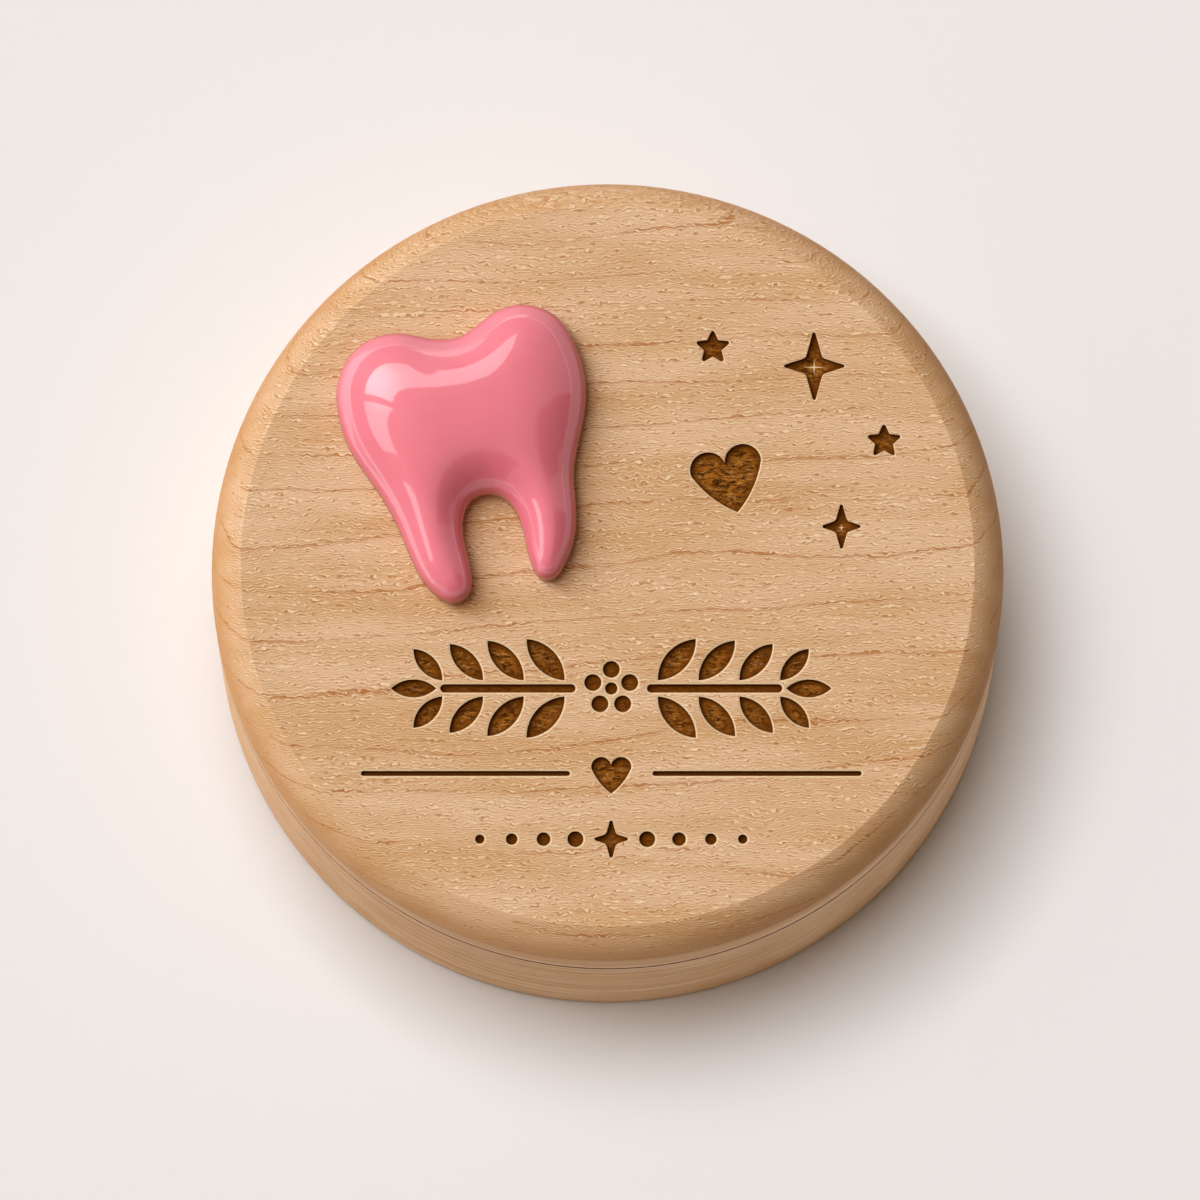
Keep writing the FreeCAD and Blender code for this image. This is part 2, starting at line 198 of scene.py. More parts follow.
class StageLook(bpy.types.PropertyGroup):
    """Floor, light and camera."""
    floor: colour_property("Floor", "Colour of the floor", "F7F6F5")
    floor_size: length_property("Floor size", "Length of the floor's sides", 6000.0)
    panel_distance: length_property("Panel distance", "Distance of the panels", 4000.0)
    key: number_property("Key light", "Brightness of the key panel", 5.75)
    key_tint: colour_property("Key colour", "Colour of the key panel", "F5F4EF")
    key_size: length_property("Key size", "Side of the key panel", 2000.0)
    key_elevation: angle_property("Key elevation", "Height of the key panel above the horizon", 70)
    key_azimuth: angle_property("Key direction", "Where the key panel stands, from +X towards +Y", 160)
    side: number_property("Side light", "Brightness of the low side panel", 7.25)
    side_tint: colour_property("Side colour", "Colour of the low side panel", "E6EFFF")
    side_size: length_property("Side size", "Side of the low side panel", 2220.0)
    side_elevation: angle_property("Side elevation", "Height of the side panel above the horizon", 40)
    side_azimuth: angle_property("Side direction", "Where the side panel stands, from +X towards +Y", 150)
    high: number_property("High light", "Brightness of the high panel, which lights the floor", 9.25)
    high_tint: colour_property("High colour", "Colour of the high panel", "F5F9FF")
    high_size: length_property("High size", "Side of the high panel", 2140.0)
    high_elevation: angle_property("High elevation", "Height of the high panel above the horizon", 76)
    high_azimuth: angle_property("High direction", "Where the high panel stands, from +X towards +Y", 139)
    mirror_distance: length_property("Mirror distance", "Distance of the sheets that show in gloss", 800.0)
    window: number_property("Window", "Brightness of the window in gloss", 4.6)
    sunny: number_property("Sunny part", "Brightness of the window's sunny part in gloss", 8.8)
    sunny_elevation: angle_property("Sunny elevation", "Height of the sunny part above the horizon", 43)
    sunny_azimuth: angle_property("Sunny direction", "Where the sunny part lies, from +X towards +Y", 142)
    sunny_core: angle_property("Sunny core", "Angle within which the sunny part is at its brightest", 6)
    sunny_edge: angle_property("Sunny edge", "Angle at which the sunny part ends", 26)
    wall: number_property("Wall", "Brightness of the wall below the window in gloss", 2.8)
    card: number_property("Dark card", "Brightness of the dark card in gloss", 0.2)
    room: colour_property("Room", "Colour of the light from all round", "FFDDB4")
    fill: number_property("Fill light", "Brightness of the light from all round", 0.22)
    slant: number_property("Slant", "How much brighter it is all round towards the key panel", 0.9)
    camera_elevation: angle_property("Camera elevation", "Height of the camera above the horizon", 79)
    camera_distance: length_property("Camera distance", "Distance from the box to the camera", 1300.0)
    aim_right: length_property("Aim right", "How far the camera aims to the right of the box", -0.762)
    aim_up: length_property("Aim up", "How far the camera aims above the box", 2.153)
    lens: length_property("Lens", "Focal length", 378.1)


def add(tree, kind, links=None, **settings):
    """Adds a shader node and returns it.

    links gives its inputs, by name or number: a value, a socket, or a node whose first output is used.
    settings are the node's own properties.
    """
    made = tree.nodes.new("ShaderNode" + kind)
    for name, value in settings.items():
        setattr(made, name, value)
    for name, value in (links or {}).items():
        socket = made.inputs[name]
        if isinstance(value, bpy.types.Node):
            value = value.outputs[0]
        if isinstance(value, bpy.types.NodeSocket):
            tree.links.new(value, socket)
        elif socket.type == "RGBA":
            socket.default_value = (*value, 1)
        else:
            socket.default_value = value
    return made


def new_material(name):
    """Empty node material, and its tree."""
    material = bpy.data.materials.new(name)
    material.use_nodes = True
    material.node_tree.nodes.clear()
    return material, material.node_tree


def surfaced(material, shader):
    """A material, with a shader of its tree as its surface."""
    add(material.node_tree, "OutputMaterial", {"Surface": shader})
    return material


def finish_node(node, material):
    """Gives a CAD node's object one material."""
    slots = NODES[node].data.materials
    slots.clear()
    slots.append(material)


def new_object(name, mesh, material):
    """Object with one material, from a finished bmesh."""
    data = bpy.data.meshes.new(name)
    mesh.to_mesh(data)
    mesh.free()
    data.materials.append(material)
    made = bpy.data.objects.new(name, data)
    bpy.context.scene.collection.objects.link(made)
    return made


def shown_mesh(name, mesh, material, body, node):
    """New piece from a finished bmesh that stands for a CAD node and rides on its body."""
    piece = new_object(name, mesh, material)
    for face in piece.data.polygons:
        face.use_smooth = True
    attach(piece, body)
    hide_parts(node)
    return piece


def grain_place(tree, sizes):
    """Object coordinates in feature sizes: each axis is divided by that many metres."""
    place = add(tree, "TexCoord").outputs["Object"]
    scale = tuple(1 / size for size in sizes)
    return add(tree, "VectorMath", {0: place, 1: scale}, operation="MULTIPLY")


def fibre_patches(tree, look, level, along):
    """Where raised fibres show: in patches, and less on the sanded sides and on end grain."""
    size = (look.fibre_length, 0.35 * look.fibre_length, 0.35 * look.fibre_length)
    patches = add(tree, "TexNoise", {"Vector": grain_place(tree, size), "Scale": 1, "Detail": 1})
    patch = add(tree, "MapRange", {"Value": patches, "From Min": 0.38, "From Max": 0.62, "To Min": 0.25})
    sanded = add(tree, "MapRange", {"Value": level, "From Min": 0.1, "From Max": 0.45, "To Min": 0.35})
    calm = add(tree, "MapRange", {
        "Value": along, "From Min": 0.35, "From Max": 0.75, "To Min": 1.0, "To Max": 0.45,
    })
    for less in (sanded, calm):
        patch = add(tree, "Math", {0: patch, 1: less}, operation="MULTIPLY")
    return patch


def raised_fibres(tree, look, grain, wander, patch):
    """Narrow ridges along the grain that wander and break off, and the furrow below each of them."""
    per = 1 / look.fibre_spacing
    across = (0, per, 0.8 * per)
    run = add(tree, "VectorMath", {0: grain, 1: across}, operation="DOT_PRODUCT").outputs["Value"]
    lines = add(tree, "Math", {0: wander, 1: 2.7, 2: run}, operation="MULTIPLY_ADD")
    lines = add(tree, "Math", {0: lines}, operation="FRACT")
    # Where each of them starts and is full on either side, in shares of the spacing
    ridge_slopes = ((0.95, 0.66), (0.44, 0.56))
    furrow_slopes = ((0.12, 0.36), (0.54, 0.44))
    made = []
    for slopes in (ridge_slopes, furrow_slopes):
        shape = patch
        for start, full in slopes:
            slope = add(tree, "MapRange", {"Value": lines, "From Min": start, "From Max": full},
                        interpolation_type="SMOOTHSTEP")
            shape = add(tree, "Math", {0: shape, 1: slope}, operation="MULTIPLY")
        made.append(shape)
    return made


def flecks(tree, look, grain, patch):
    """Sparse short lenses along the grain."""
    scale = (1 / look.fleck_length, 1 / look.fleck_width, 1 / look.fleck_width)
    stretched = add(tree, "VectorMath", {0: grain, 1: scale}, operation="MULTIPLY")
    lenses = add(tree, "TexNoise", {"Vector": stretched, "Scale": 1, "Detail": 0})
    fleck = add(tree, "MapRange", {"Value": lenses, "From Min": 0.27, "From Max": 0.2})
    return add(tree, "Math", {0: fleck, 1: patch}, operation="MULTIPLY")


def growth_rings(tree, look, place, sway, wander, fibre, upright):
    """Lines where the growth rings, which are cylinders round the pith, meet the surface.

    They break off, and are fainter under raised fibres and on the upright sides.
    """
    eased = add(tree, "VectorMath", {0: sway, 1: (0.7 * MM,) * 3, 2: place}, operation="MULTIPLY_ADD")
    turned = add(tree, "Mapping", {"Vector": eased, "Rotation": (0, 0, look.lean)})
    from_pith = add(tree, "VectorMath", {0: turned, 1: PITH}, operation="SUBTRACT")
    across = add(tree, "VectorMath", {0: from_pith, 1: (0, 1, 1)}, operation="MULTIPLY")
    radius = add(tree, "VectorMath", {0: across}, operation="LENGTH").outputs["Value"]
    waves = add(tree, "TexNoise", {"Vector": grain_place(tree, RING_WAVES), "Scale": 1, "Detail": 1})
    count = add(tree, "Math", {0: radius, 1: 1 / look.ring_spacing}, operation="MULTIPLY")
    for change, share in ((wander, 0.12), (waves, 2.0)):
        count = add(tree, "Math", {0: change, 1: share, 2: count}, operation="MULTIPLY_ADD")
    phase = add(tree, "Math", {0: count}, operation="FRACT")
    ring = add(tree, "MapRange", {"Value": phase, "From Min": 0.91, "From Max": 0.965},
               interpolation_type="SMOOTHSTEP")
    fall = add(tree, "MapRange", {"Value": phase, "From Min": 1.0, "From Max": 0.98})
    gaps = add(tree, "TexNoise", {
        "Vector": grain_place(tree, RING_GAPS), "Scale": 1, "Detail": 3, "Roughness": 0.6,
    })
    broken = add(tree, "MapRange", {"Value": gaps, "From Min": 0.38, "From Max": 0.53, "To Min": 0.04})
    streaked = add(tree, "MapRange", {"Value": fibre, "From Max": 0.6, "To Min": 1.0, "To Max": 0.1})
    fainter = add(tree, "Math", {0: upright, 1: -0.75, 2: 1.0}, operation="MULTIPLY_ADD")
    for less in (fall, broken, streaked, fainter):
        ring = add(tree, "Math", {0: ring, 1: less}, operation="MULTIPLY")
    return ring


def tinted(tree, colour, value, mask, tints):
    """Colour with tints: each reaches its share as the value goes from start to full, under one mask."""
    for start, full, share, tint in tints:
        amount = add(tree, "MapRange", {
            "Value": value, "From Min": start, "From Max": full, "To Max": share,
        })
        amount = add(tree, "Math", {0: amount, 1: mask}, operation="MULTIPLY")
        colour = add(tree, "MixRGB", {"Fac": amount, "Color1": colour, "Color2": tint})
    return colour


def side_streaks(tree, look, upright, colour):
    """Wood's colour with long level streaks on the upright sides, brown ones and pale ones."""
    layers = add(tree, "TexNoise", {
        "Vector": grain_place(tree, SIDE_STREAKS), "Scale": 1, "Detail": 3, "Roughness": 0.6,
    })
    tints = ((0.52, 0.68, 0.55, look.furrow), (0.46, 0.34, 0.5, look.fibre))
    return tinted(tree, colour, layers, upright, tints)


def rounded_edge(tree, look, reach, height, colour):
    """Wood's colour with painted shade on the lid's rounded edge: a darker tint, deeper where the edge is
    steep.
    """
    # Painted shade: the tint covers the rounded edge above edge_low and deepens where the edge is steep
    edge = add(tree, "MapRange", {
        "Value": reach, "From Min": look.edge_radius - 0.2 * MM, "From Max": look.edge_radius + 0.5 * MM,
    })
    upper = add(tree, "MapRange", {
        "Value": height, "From Min": look.edge_low - 0.7 * MM, "From Max": look.edge_low + 0.7 * MM,
    })
    steep = add(tree, "MapRange", {
        "Value": height, "From Min": LID_TOP - 0.6 * MM, "From Max": LID_TOP - 2 * MM,
        "To Min": 0.16, "To Max": 0.6,
    })
    for less in (upper, steep):
        edge = add(tree, "Math", {0: edge, 1: less}, operation="MULTIPLY")
    return add(tree, "MixRGB", {"Fac": edge, "Color1": colour, "Color2": look.painted_edge_shade})


def seam_shadow_and_highlight(tree, look, reach, height, colour):
    """Wood's colour with a painted shadow line in the seam and a painted highlight line on either side of it.
    """
    apart = add(tree, "Math", {0: height, 1: SEAM}, operation="SUBTRACT")
    apart = add(tree, "Math", {0: apart}, operation="ABSOLUTE")
    outside = add(tree, "MapRange", {
        "Value": reach, "From Min": SIDE - 0.8 * MM, "From Max": SIDE - 0.5 * MM,
    })
    # Pale painted highlight beside the seam, then the painted shadow in it
    tints = ((0.85 * MM, 0.55 * MM, 0.55, look.fibre), (0.45 * MM, 0.3 * MM, 1.0, look.seam))
    return tinted(tree, colour, apart, outside, tints)


def beech(name, look, engraving=None):
    """Beech, turned and lightly oiled.

    The eye gets fine raised fibres that wander along X, short dark flecks, thin broken growth-ring lines and
    a satin sheen. Where fibres end in the surface the wood is oranger. Painted shade warms the upright sides
    and darkens the rounded edge, and the seam is a painted shadow line with a painted highlight on either
    side.
    An engraved lid also has burnt wells.
    """
    material, tree = new_material(name)
    place = add(tree, "TexCoord").outputs["Object"]
    height = add(tree, "SeparateXYZ", {0: place}).outputs["Z"]
    flat = add(tree, "VectorMath", {0: place, 1: (1, 1, 0)}, operation="MULTIPLY")
    reach = add(tree, "VectorMath", {0: flat}, operation="LENGTH").outputs["Value"]
    normal = add(tree, "SeparateXYZ", {0: add(tree, "NewGeometry").outputs["True Normal"]})
    level = add(tree, "Math", {0: normal.outputs["Z"]}, operation="ABSOLUTE")
    along = add(tree, "Math", {0: normal.outputs["X"]}, operation="ABSOLUTE")
    upright = add(tree, "MapRange", {"Value": level, "From Min": 0.4, "From Max": 0.1})

    # The grain runs along X and sways slowly
    sway = add(tree, "TexNoise", {"Vector": grain_place(tree, SWAY), "Scale": 1, "Detail": 1})
    sway = sway.outputs["Color"]
    grain = add(tree, "VectorMath", {0: sway, 1: (1.6 * MM,) * 3, 2: place}, operation="MULTIPLY_ADD")
    wander = add(tree, "TexNoise", {"Vector": grain_place(tree, WANDER), "Scale": 1, "Detail": 1})
    patch = fibre_patches(tree, look, level, along)
    fibre, furrow = raised_fibres(tree, look, grain, wander, patch)
    fleck = flecks(tree, look, grain, patch)
    ring = growth_rings(tree, look, place, sway, wander, fibre, upright)

    # Each change of colour, with its share where it is full
    streaks = add(tree, "TexNoise", {"Vector": grain_place(tree, WARM_STREAKS), "Scale": 1, "Detail": 3})
    streak = add(tree, "MapRange", {"Value": streaks, "From Min": 0.36, "From Max": 0.66})
    ends = add(tree, "MapRange", {"Value": along, "From Min": 0.3, "From Max": 1.0})
    colour = look.pale
    for amount, share, tint in (
        # The end-grain tint on upright sides is painted shade: it warms and darkens every side as shade would
        (streak, 1.0, look.warm), (ends, 0.18, look.end_grain), (upright, 0.3, look.end_grain),
        (furrow, 0.8, look.furrow), (fibre, 0.8, look.fibre), (ring, 0.85, look.ring),
        (fleck, 0.8, look.fleck),
    ):
        amount = add(tree, "Math", {0: amount, 1: share}, operation="MULTIPLY")
        colour = add(tree, "MixRGB", {"Fac": amount, "Color1": colour, "Color2": tint})
    colour = side_streaks(tree, look, upright, colour)
    colour = rounded_edge(tree, look, reach, height, colour)
    colour = seam_shadow_and_highlight(tree, look, reach, height, colour)

    # Fibres stand up, and furrows are half as deep
    sunk = add(tree, "Math", {0: furrow, 1: 0.5}, operation="MULTIPLY")
    relief = add(tree, "Math", {0: fibre, 1: sunk}, operation="SUBTRACT")
    bump = add(tree, "Bump", {"Height": relief, "Strength": 1.0, "Distance": look.relief})
    rough = add(tree, "MapRange", {"Value": fibre, "To Min": 0.6, "To Max": 0.48})
    if engraving:
        burn, well, colour = burnt(tree, engraving, place, reach, height, colour)
    shader = add(tree, "BsdfPrincipled", {
        "Base Color": colour, "Roughness": rough, "Normal": bump, "IOR": 1.5, "Specular IOR Level": 0.25,
    })
    if engraving:
        char = add(tree, "BsdfPrincipled", {
            "Base Color": well, "Roughness": 0.95, "Specular IOR Level": 0.0,
        })
        shader = add(tree, "MixShader", {0: burn, 1: shader, 2: char})
    return surfaced(material, shader)


def glint(tree, place, centre, lengths, width):
    """Painted highlight: a small cross round a point of the lid, 1 along its arms, which taper from the
    middle.
    """
    off = add(tree, "VectorMath", {0: place, 1: (*centre, 0)}, operation="SUBTRACT")
    off = add(tree, "VectorMath", {0: off}, operation="ABSOLUTE")
    parts = add(tree, "SeparateXYZ", {0: off})
    arms = []
    for along, beside, length in (("X", "Y", lengths[0]), ("Y", "X", lengths[1])):
        half = add(tree, "Math", {0: parts.outputs[along], 1: -width / length, 2: width},
                   operation="MULTIPLY_ADD")
        left = add(tree, "Math", {0: half, 1: parts.outputs[beside]}, operation="SUBTRACT")
        arms.append(add(tree, "MapRange", {"Value": left, "From Max": 0.5 * width}))
    return add(tree, "Math", {0: arms[0], 1: arms[1]}, operation="MAXIMUM")


def burnt(tree, look, place, reach, height, colour):
    """Burnt wells of the engraving: where they are, their colour, and the wood's colour with their bevels.

    The eye gets a pale bevel of cut wood that is also a painted highlight, nearly black charred walls,
    painted highlight crosses in the sparkles, and a brown mottled floor with painted shade towards its edges.
    """
    depth = add(tree, "Math", {0: LID_TOP, 1: height}, operation="SUBTRACT")
    inside = add(tree, "Math", {0: reach, 1: look.reach}, operation="LESS_THAN")
    above = add(tree, "Math", {0: depth, 1: 1.5 * look.depth}, operation="LESS_THAN")
    marked = add(tree, "Math", {0: inside, 1: above}, operation="MULTIPLY")
    # Where the wood is cut and where it is burnt, in shares of the bevel's height
    masks = []
    for start, full in ((0.02, 0.1), (0.85, 1.3)):
        mask = add(tree, "MapRange", {
            "Value": depth, "From Min": start * look.bevel, "From Max": full * look.bevel,
        })
        masks.append(add(tree, "Math", {0: mask, 1: marked}, operation="MULTIPLY"))
    cut, burn = masks
    floor = add(tree, "MapRange", {
        "Value": depth, "From Min": 0.9 * look.depth, "From Max": 0.99 * look.depth,
    })

    streaks = add(tree, "TexNoise", {
        "Vector": grain_place(tree, BURNT_STREAKS), "Scale": 1, "Detail": 3, "Roughness": 0.65,
        "Distortion": 0.8,
    })
    streak = add(tree, "MapRange", {"Value": streaks, "From Min": 0.4, "From Max": 0.58})
    ground = add(tree, "MixRGB", {"Fac": streak, "Color1": look.dark, "Color2": look.floor})
    specks = add(tree, "TexNoise", {
        "Vector": grain_place(tree, BURNT_SPECKS), "Scale": 1, "Detail": 1, "Distortion": 1.2,
    })
    speck = add(tree, "MapRange", {"Value": specks, "From Min": 0.57, "From Max": 0.7, "To Max": 0.7})
    ground = add(tree, "MixRGB", {"Fac": speck, "Color1": ground, "Color2": look.light})
    # Painted shade: the floor turns to the char colour where ambient occlusion is low, near the walls and in
    # narrow marks
    corners = add(tree, "AmbientOcclusion", {"Distance": 2.4 * look.depth}, samples=6, only_local=True)
    open_sky = add(tree, "MapRange", {"Value": corners.outputs["AO"], "From Min": 0.58, "From Max": 0.98})
    ground = add(tree, "MixRGB", {"Fac": open_sky, "Color1": look.char, "Color2": ground})
    # Painted highlight crosses in the sparkles
    for centre, lengths in GLINTS:
        cross = glint(tree, place, centre, lengths, look.glint_width)
        ground = add(tree, "MixRGB", {"Fac": cross, "Color1": ground, "Color2": look.fresh_wood_and_highlight})
    well = add(tree, "MixRGB", {"Fac": floor, "Color1": look.char, "Color2": ground})
    # Painted highlight: the bevel round each mark turns pale
    bevel_highlight_tint = add(tree, "Math", {0: cut, 1: 0.65}, operation="MULTIPLY")
    colour = add(tree, "MixRGB", {"Fac": bevel_highlight_tint, "Color1": colour, "Color2": look.fresh_wood_and_highlight})
    return burn, well, colour


class TOOTHBOX_OT_turned_wood(bpy.types.Operator):
    """Finishes the lid, the base cup and the collar as turned beech"""
    bl_idname = "tooth_box.turned_wood"
    bl_label = "Turned Wood"

    def execute(self, context):
        wood = context.scene.tooth_box_wood
        plain = beech("beech_turned_oiled", wood)
        for node in ("base_cup", "neck_collar"):
            finish_node(node, plain)
        engraved = beech("beech_turned_laser_engraved", wood, context.scene.tooth_box_engraving)
        finish_node("lid_panel", engraved)
        return {"FINISHED"}


def outline_loop(node, height):
    """Points of a CAD node's edges at one height, in order round the node, as an array of x and y."""
    mesh = NODES[node].data
    level = {
        vertex.index: (round(vertex.co.x / MM, 4), round(vertex.co.y / MM, 4))
        for vertex in mesh.vertices
        if abs(vertex.co.z - height) < 0.001 * MM
    }
    beside = {}
    for edge in mesh.edges:
        ends = [level.get(index) for index in edge.vertices]
        if None not in ends and ends[0] != ends[1]:
            beside.setdefault(ends[0], set()).add(ends[1])
            beside.setdefault(ends[1], set()).add(ends[0])
    start = min(beside)
    loop = [start]
    here = max(beside[start])
    while here != start:
        ahead = [point for point in sorted(beside[here]) if point != loop[-1]]
        loop.append(here)
        here = ahead[0]
    points = np.array(loop) * MM
    turn = np.cross(points, np.roll(points, -1, axis=0)).sum()
    return points if turn > 0 else points[::-1]


def evenly(loop, spacing):
    """Closed loop with points at even distances along it."""
    closed = np.vstack([loop, loop[:1]])
    run = np.concatenate([[0], np.cumsum(np.linalg.norm(np.diff(closed, axis=0), axis=1))])
    count = math.ceil(run[-1] / spacing)
    places = np.linspace(0, run[-1], count, endpoint=False)
    return np.stack([np.interp(places, run, closed[:, axis]) for axis in (0, 1)], axis=1)


def inward_normals(loop):
    """Unit normals of a closed anticlockwise loop, towards its inside."""
    run = np.roll(loop, -1, axis=0) - np.roll(loop, 1, axis=0)
    left = np.stack([-run[:, 1], run[:, 0]], axis=1)
    return left / np.linalg.norm(left, axis=1, keepdims=True)


def depths(points, loop):
    """Distance of each point from a dense closed loop, and its depth, which is smooth over the middle.

    Beside a long straight edge the depth is the plain distance from that edge.
    """
    step = np.linalg.norm(loop - np.roll(loop, 1, axis=0), axis=1).mean()
    batch = 500
    near, smooth = [], []
    for start in range(0, len(points), batch):
        gaps = np.linalg.norm(points[start:start + batch, None] - loop[None], axis=2)
        gaps = np.maximum(gaps, 0.02 * step)
        near.append(gaps.min(axis=1))
        smooth.append(np.sqrt(2 / (step / gaps ** 3).sum(axis=1)))
    near, smooth = np.concatenate(near), np.concatenate(smooth)
    return near, np.where(near < 3 * step, near, smooth)


def inside_loop(points, loop):
    """Which points lie inside a closed loop."""
    crossings = np.zeros(len(points), int)
    for start, end in zip(loop, np.roll(loop, -1, axis=0)):
        spans = (start[1] > points[:, 1]) != (end[1] > points[:, 1])
        if spans.any():
            x = start[0] + (points[:, 1] - start[1]) * (end[0] - start[0]) / (end[1] - start[1])
            crossings += spans & (points[:, 0] < x)
    return crossings % 2 == 1


def band_width(look, places):
    """Width of the tooth's band at some places: it narrows from the crown to the tips of the roots."""
    low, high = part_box("tooth_ornament")
    share = (places[:, 1] - low.y) / (high.y - low.y)
    return look.tip_shoulder + (look.shoulder - look.tip_shoulder) * share


def top_points(look, rim, inward, dense):
    """Points of the tooth's top: the rim, loops that crowd towards it and along the ridge, an even field."""
    edge_shares = (0.02, 0.08, 0.18, 0.32, 0.5, 0.72, 1.0)
    ridge_shares = (-1.5, -0.9, -0.4, 0, 0.4, 0.9, 1.5, 2.4)
    steps = [np.full(len(rim), look.edge * share) for share in edge_shares]
    steps += [band_width(look, rim) + look.bead_width * share for share in ridge_shares]
    points = [rim]
    for step in steps:
        moved = rim + inward * step[:, None]
        near, _ = depths(moved, dense)
        points.append(moved[near > 0.97 * step])
    across = np.arange(dense[:, 0].min(), dense[:, 0].max(), look.spacing)
    up = np.arange(dense[:, 1].min(), dense[:, 1].max(), look.spacing * math.sqrt(0.75))
    field = np.array([(x + (row % 2) * look.spacing / 2, y) for row, y in enumerate(up) for x in across])
    field = field[inside_loop(field, dense)]
    near, _ = depths(field, dense)
    last_loop = band_width(look, field) + ridge_shares[-1] * look.bead_width
    points.append(field[near > last_loop + 0.4 * look.spacing])
    return np.concatenate(points)


def top_form(look, points, rim, dense):
    """Height of each point of the tooth's top, and how much of it is band and ridge."""
    low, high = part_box("tooth_ornament")
    near, depth = depths(points, dense)
    near[:len(rim)] = 0
    depth[:len(rim)] = 0
    full = high.z - low.z
    swell = look.rim + (full - look.rim) * (1 - (1 - depth / depth.max()) ** look.power)
    fall = np.clip(1 - near / look.edge, 0, 1)
    rounded = look.edge * (1 - np.sqrt(1 - fall ** 2))
    inside = near - band_width(look, points)
    ridge = np.exp(-(inside / look.bead_width) ** 2)
    heights = np.minimum(low.z + swell - rounded + look.bead * ridge, high.z)
    band = np.clip(0.5 - inside / (2 * look.bead_width), 0, 1)
    return heights, band, ridge


def tooth_mesh(look):
    """Cast tooth: a rounded band inside the outline, a fine ridge along it and a swollen top."""
    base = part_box("tooth_ornament")[0].z
    loop = outline_loop("tooth_ornament", base + look.foot)
    dense = evenly(loop, look.spacing / 6)
    rim = evenly(loop, 0.8 * look.spacing)
    inward = inward_normals(rim)
    points = top_points(look, rim, inward, dense)
    heights, band, ridge = top_form(look, points, rim, dense)

    mesh = bmesh.new()
    # The band and ridge layers carry the material's slight painted sheen and painted highlight line
    band_layer = mesh.verts.layers.float.new("band")
    ridge_layer = mesh.verts.layers.float.new("ridge")
    edges = [(number, (number + 1) % len(rim)) for number in range(len(rim))]
    flat = [Vector(point / MM) for point in points]
    _, _, faces, origins, _, _ = delaunay_2d_cdt(flat, edges, [], 1, 1e-6)
    top = [mesh.verts.new((*points[origin[0]], heights[origin[0]])) for origin in origins]
    for origin, vertex in zip(origins, top):
        vertex[band_layer] = band[origin[0]]
        vertex[ridge_layer] = ridge[origin[0]]
    for face in faces:
        mesh.faces.new([top[corner] for corner in face])
    order = {origin[0]: vertex for origin, vertex in zip(origins, top)}
    above = [order[number] for number in range(len(rim))]

    # Wall, rounded foot and underside
    for turn in (0.0, 0.25, 0.5, 0.75, 1.0):
        angle = turn * math.pi / 2
        step = look.foot * (1 - math.cos(angle))
        level = base + look.foot * (1 - math.sin(angle))
        below = [mesh.verts.new((*point, level)) for point in rim + inward * step]
        for vertex in below:
            vertex[band_layer] = 1
        for number in range(len(rim)):
            after = (number + 1) % len(rim)
            mesh.faces.new([above[number], below[number], below[after], above[after]])
        above = below
    mesh.faces.new(above)
    bmesh.ops.recalc_face_normals(mesh, faces=mesh.faces)
    return mesh


def cast_resin(look):
    """Cast resin, polished under a clear gloss coat.

    The eye gets an even pink with faint clouds and soft light inside it, a thin band and ridge along its
    outline with a slight painted sheen on the band and a painted highlight line on the ridge, and sharp
    reflections of the windows on it.
    """
    material, tree = new_material("cast_resin_polished_gloss")
    clouds = add(tree, "TexNoise", {"Vector": grain_place(tree, RESIN_CLOUDS), "Scale": 1, "Detail": 2})
    cloud = add(tree, "MapRange", {"Value": clouds, "From Min": 0.3, "From Max": 0.7, "To Max": 0.5})
    colour = add(tree, "MixRGB", {"Fac": cloud, "Color1": look.pink, "Color2": look.deep})
    # Slightly paler pink on the band is painted sheen; the paler ridge line is a painted highlight
    for layer, tint in (("band", look.band), ("ridge", look.line)):
        amount = add(tree, "Attribute", attribute_name=layer).outputs["Fac"]
        colour = add(tree, "MixRGB", {"Fac": amount, "Color1": colour, "Color2": tint})
    waves = add(tree, "TexNoise", {"Vector": grain_place(tree, POLISH_WAVES), "Scale": 1, "Detail": 1})
    bump = add(tree, "Bump", {"Height": waves, "Strength": 0.5, "Distance": 0.01 * MM})
    shader = add(tree, "BsdfPrincipled", {
        "Base Color": colour, "Roughness": 0.32, "Normal": bump, "IOR": 1.5, "Specular IOR Level": 0.2,
        "Subsurface Weight": 0.18,
        "Subsurface Radius": (2.0 * MM, 0.9 * MM, 0.8 * MM), "Subsurface Scale": 1.0,
        "Coat Weight": 1.0, "Coat Roughness": 0.04, "Coat IOR": 1.5,
    })
    return surfaced(material, shader)


class TOOTHBOX_OT_tooth(bpy.types.Operator):
    """Builds the cast tooth with its rounded band and ridge in place of the plain casting"""
    bl_idname = "tooth_box.tooth"
    bl_label = "Cast Tooth"

    def execute(self, context):
        look = context.scene.tooth_box_tooth
        shown_mesh("cast_tooth", tooth_mesh(look), cast_resin(look), "lid", "tooth_ornament")
        return {"FINISHED"}


def set_adhesive(look):
    """Clear adhesive, set as a thin film.

    The eye gets a milky film with faint bubbles.
    """
    material, tree = new_material("adhesive_set_film")
    bubbles = add(tree, "TexVoronoi", {"Vector": grain_place(tree, BUBBLES), "Scale": 1})
    rough = add(tree, "MapRange", {"Value": bubbles, "To Min": 0.2, "To Max": 0.45})
    bump = add(tree, "Bump", {"Height": bubbles, "Strength": 0.4, "Distance": 0.03 * MM})
    shader = add(tree, "BsdfPrincipled", {
        "Base Color": look.adhesive, "Roughness": rough, "Normal": bump, "IOR": 1.48,
    })
    return surfaced(material, shader)


class TOOTHBOX_OT_adhesive(bpy.types.Operator):
    """Finishes the adhesive under the tooth"""
    bl_idname = "tooth_box.adhesive"
    bl_label = "Adhesive"

    def execute(self, context):
        finish_node("ornament_adhesive", set_adhesive(context.scene.tooth_box_metal))
        return {"FINISHED"}


